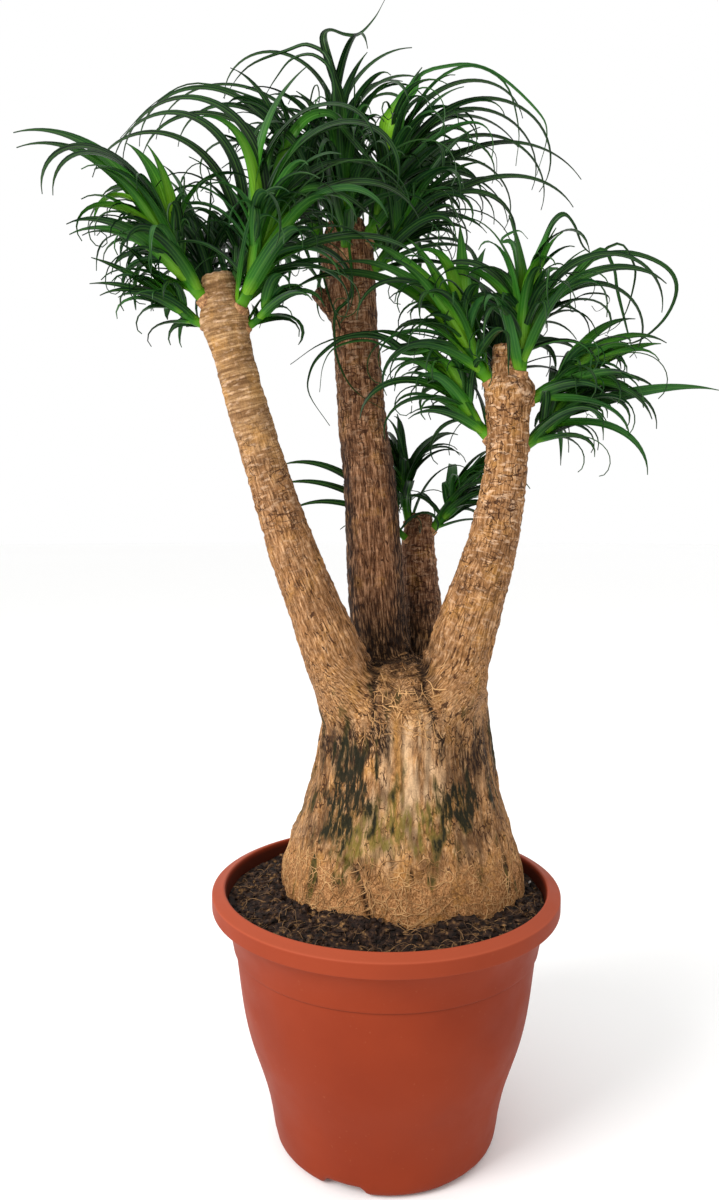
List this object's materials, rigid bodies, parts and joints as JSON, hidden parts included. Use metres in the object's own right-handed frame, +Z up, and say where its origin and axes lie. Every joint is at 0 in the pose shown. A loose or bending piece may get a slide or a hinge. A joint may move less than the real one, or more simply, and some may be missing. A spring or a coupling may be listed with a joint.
{
  "type": "potted ponytail palm",
  "caption": "Swollen-based palm with four bare upright stems topped by heads of long arching strap leaves, standing in a round nursery pot of soil.",
  "frame": {"origin": "middle of the pot's flat underside, on the surface that the pot stands on", "axes": "+Z up along the pot's axis, -Y towards the plant's front, +X to its right"},
  "size_m": [0.6062, 0.3946, 1.0481],
  "materials": {
    "pot_plastic": "satin moulded terracotta-coloured plastic",
    "soil": "dark loose peat compost",
    "bark": "rough corky bark with leaf-scar rings and fissures",
    "leaf": "smooth satin green leaf"
  },
  "bodies": {
    "root": {"pot": "pot_plastic", "soil": "soil", "trunk": "bark", "left_low_outer_shoot": "leaf", "left_outer_shoot": "leaf", "left_inner_shoot": "leaf", "left_low_inner_shoot": "leaf", "left_rear_outer_shoot": "leaf", "left_rear_inner_shoot": "leaf", "centre_top_shoot": "leaf", "centre_right_upper_shoot": "leaf", "centre_right_rear_shoot": "leaf", "centre_right_low_shoot": "leaf", "centre_front_shoot": "leaf", "centre_left_shoot": "leaf", "centre_rear_shoot": "leaf", "right_inner_shoot": "leaf", "right_upper_shoot": "leaf", "right_outer_shoot": "leaf", "right_low_outer_shoot": "leaf", "right_low_inner_shoot": "leaf", "right_rear_shoot": "leaf", "back_top_shoot": "leaf", "back_right_shoot": "leaf", "back_left_shoot": "leaf"}
  },
  "joints": []
}
